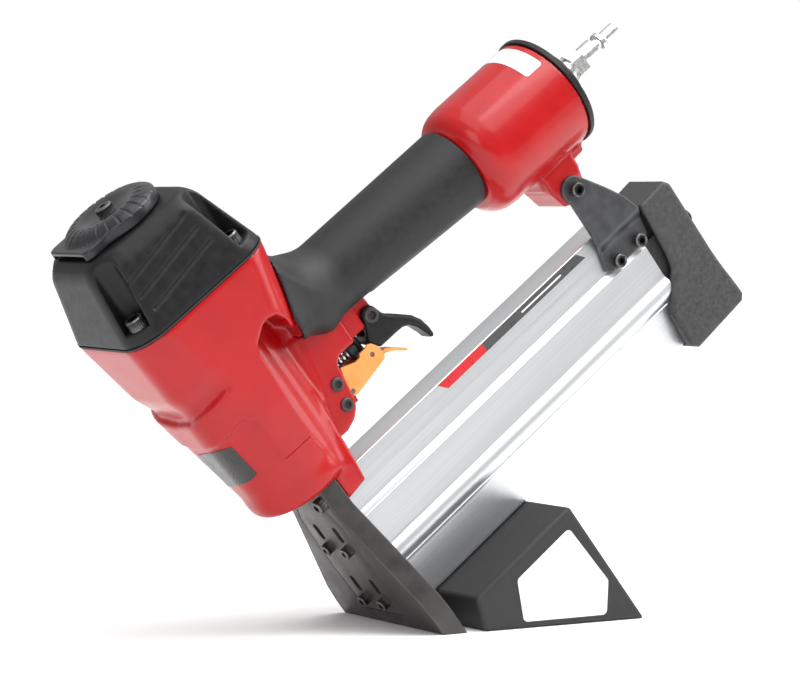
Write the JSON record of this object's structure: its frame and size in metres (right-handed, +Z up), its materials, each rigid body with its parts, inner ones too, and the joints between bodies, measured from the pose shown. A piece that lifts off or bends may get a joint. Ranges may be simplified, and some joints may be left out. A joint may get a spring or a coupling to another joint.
{
  "type": "pneumatic flooring nailer",
  "caption": "Pneumatic flooring nailer with a raked driver head, rear air reservoir, angled strip-nail magazine and an adjustable foot, standing on its nose and foot.",
  "frame": {"origin": "the point where the drive axis meets the floor under the nose, on the middle plane of the tool", "axes": "+Z up from the floor the tool stands on, +X from the nose towards the rear end of the magazine, +Y across the tool; the magazine runs along (0.788, 0, 0.616) and the drive axis rises along (-0.616, 0, 0.788)"},
  "size_m": [0.4272, 0.1106, 0.3376],
  "materials": {
    "red_paint": "gloss red paint over a magnesium or aluminium casting",
    "cap_black": "matte dark grey painted casting",
    "rubber_black": "matte",
    "black_oxide": "black oxide",
    "bright_steel": "ground",
    "spring_steel": "bright wire",
    "bare_aluminium": "satin anodised",
    "grey_plastic": "matte grey-black",
    "grip_rubber": "smooth matte dark grey",
    "white_plastic": "acetal",
    "plug_nickel": "nickel plated",
    "brass": "plain",
    "orange_paint": "orange painted sheet steel",
    "guard_black": "fine wrinkle texture",
    "foot_charcoal": "matte charcoal",
    "label_white": "printed film",
    "label_red": "printed film"
  },
  "bodies": {
    "tool": {"housing": "red_paint", "cylinder_cap": "cap_black", "cap_gasket": "rubber_black", "cap_bolts": "black_oxide", "deflector_screw": "black_oxide", "cylinder_sleeve": "bare_aluminium", "sleeve_o_rings": "rubber_black", "bumper": "rubber_black", "head_valve_spring": "spring_steel", "grip_sleeve": "grip_rubber", "reservoir_cap": "cap_black", "reservoir_o_ring": "rubber_black", "air_plug": "plug_nickel", "reservoir_label": "label_white", "valve_body": "brass", "valve_spring": "spring_steel", "trigger_pin": "black_oxide", "trigger_spring": "spring_steel", "lever_pin": "black_oxide", "lever_spring": "spring_steel", "web_pins": "black_oxide", "nose_base": "black_oxide", "nose_cover": "black_oxide", "cover_screws": "black_oxide", "nose_bolts": "black_oxide", "magazine": "bare_aluminium", "magazine_front_screws": "black_oxide", "nail_rail": "bright_steel", "tail_block": "grey_plastic", "rear_guard": "guard_black", "guard_screws": "black_oxide", "magazine_label": "label_red", "rear_bracket": "black_oxide", "bracket_bolts": "black_oxide"},
    "deflector": {"exhaust_deflector": "grey_plastic"},
    "driver": {"piston": "bare_aluminium", "piston_o_ring": "rubber_black", "driver_blade": "bright_steel"},
    "head_valve_piston": {"head_valve": "white_plastic", "head_valve_o_ring": "rubber_black"},
    "trigger": {"trigger": "grey_plastic"},
    "safety_lever": {"safety_lever": "orange_paint", "lever_roller": "black_oxide", "lever_spring_seat": "grey_plastic"},
    "stem": {"valve_stem": "black_oxide"},
    "pusher": {"pusher": "grey_plastic", "pusher_spring": "spring_steel", "pusher_roll_pin": "bright_steel"},
    "foot": {"foot": "foot_charcoal", "foot_labels": "label_white", "foot_t_nuts": "bright_steel", "foot_clamp_screws": "black_oxide"}
  },
  "joints": [
    {"name": "deflector_turn", "type": "hinge", "parent": "tool", "child": "deflector", "pos_m": [-0.17731, 0, 0.22695], "axis": [-0.6157, 0, 0.788], "continuous": true},
    {"name": "driver_stroke", "type": "slide", "parent": "tool", "child": "driver", "axis": [0.6157, 0, -0.788], "range_m": [0, 0.088]},
    {"name": "head_valve_lift", "type": "slide", "parent": "tool", "child": "head_valve_piston", "axis": [-0.6157, 0, 0.788], "range_m": [0, 0.006], "stiffness_N_per_m": 900, "springref_m": -0.004, "deforming": ["head_valve_spring"]},
    {"name": "trigger_pull", "type": "hinge", "parent": "tool", "child": "trigger", "pos_m": [-0.02278, 0, 0.17242], "axis": [0, -1, 0], "range_deg": [0, 14], "stiffness_Nm_per_rad": 0.3, "springref_deg": -14.32, "deforming": ["trigger_spring"]},
    {"name": "lever_pull", "type": "hinge", "parent": "tool", "child": "safety_lever", "pos_m": [-0.03547, 0, 0.13117], "axis": [0, -1, 0], "range_deg": [0, 8], "stiffness_Nm_per_rad": 0.5, "springref_deg": -17.19, "deforming": ["lever_spring"]},
    {"name": "stem_lift", "type": "slide", "parent": "tool", "child": "stem", "axis": [-0.6157, 0, 0.788], "range_m": [0, 0.0031], "deforming": ["valve_spring"]},
    {"name": "pusher_feed", "type": "slide", "parent": "tool", "child": "pusher", "axis": [0.788, 0, 0.6157], "range_m": [0, 0.19]},
    {"name": "foot_adjust", "type": "slide", "parent": "tool", "child": "foot", "axis": [0.788, 0, 0.6157], "range_m": [0, 0.016]}
  ],
  "couplings": [
    {"joint": "stem_lift", "follows": "lever_pull", "m_per_rad": 0.0217}
  ]
}
